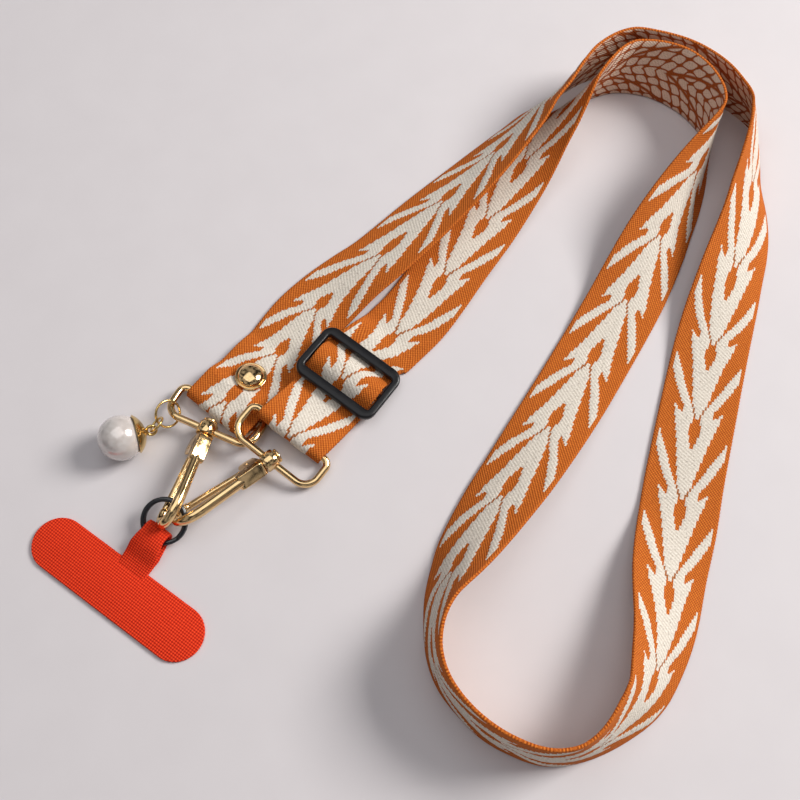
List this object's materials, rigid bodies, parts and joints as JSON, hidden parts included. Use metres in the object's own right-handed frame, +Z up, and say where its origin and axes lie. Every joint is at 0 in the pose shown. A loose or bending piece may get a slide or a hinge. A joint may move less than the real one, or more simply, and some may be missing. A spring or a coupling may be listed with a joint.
{
  "type": "phone crossbody strap",
  "caption": "Woven crossbody strap with slide buckle, rivet, D-rings, swivel snap hooks, tether ring, phone tab and pearl charm.",
  "frame": {"origin": "middle of the box's underside, on the table", "axes": "+X to the right of the lay, +Y away from its front, +Z up from the table"},
  "size_m": [0.246, 0.248, 0.025],
  "materials": {
    "woven_band": "woven webbing, cream motif yarn on orange twill, dark orange-brown back",
    "pale_gold": "polished pale gold plating on zinc alloy",
    "black_finish": "satin black coating",
    "black_ring": "gloss black coating",
    "red_weave": "fine woven red-orange cloth over a thin stiffener",
    "nacre": "pearly coating"
  },
  "bodies": {
    "root": {"webbing": "woven_band", "slider": "black_finish", "rivet": "pale_gold", "swivel_ring_1": "pale_gold", "swivel_ring_2": "pale_gold", "tether_ring": "black_ring", "phone_tab": "red_weave", "pearl": "nacre", "pearl_cup": "pale_gold", "charm_ring_small": "pale_gold", "charm_ring_large": "pale_gold"},
    "hook_1": {"hook_1": "pale_gold"},
    "gate_1": {"gate_1": "pale_gold"},
    "hook_2": {"hook_2": "pale_gold"},
    "gate_2": {"gate_2": "pale_gold"}
  },
  "joints": [
    {"name": "hook_1_swivel", "type": "hinge", "parent": "root", "child": "hook_1", "pos_m": [-0.07049, -0.02279, 0.00522], "axis": [-0.2762, -0.9472, 0.1627], "range_deg": [-2, 2]},
    {"name": "gate_1_spring", "type": "hinge", "parent": "hook_1", "child": "gate_1", "pos_m": [-0.07428, -0.02898, 0.00327], "axis": [0.79, -0.3202, -0.5229], "range_deg": [-3, 0], "stiffness_Nm_per_rad": 0.02},
    {"name": "hook_2_swivel", "type": "hinge", "parent": "root", "child": "hook_2", "pos_m": [-0.04984, -0.03342, 0.0059], "axis": [-0.7962, -0.6022, 0.0579], "range_deg": [-8, 8]},
    {"name": "gate_2_spring", "type": "hinge", "parent": "hook_2", "child": "gate_2", "pos_m": [-0.05659, -0.03568, 0.00349], "axis": [0.4397, -0.6418, -0.6283], "range_deg": [-18, 0], "stiffness_Nm_per_rad": 0.02}
  ]
}
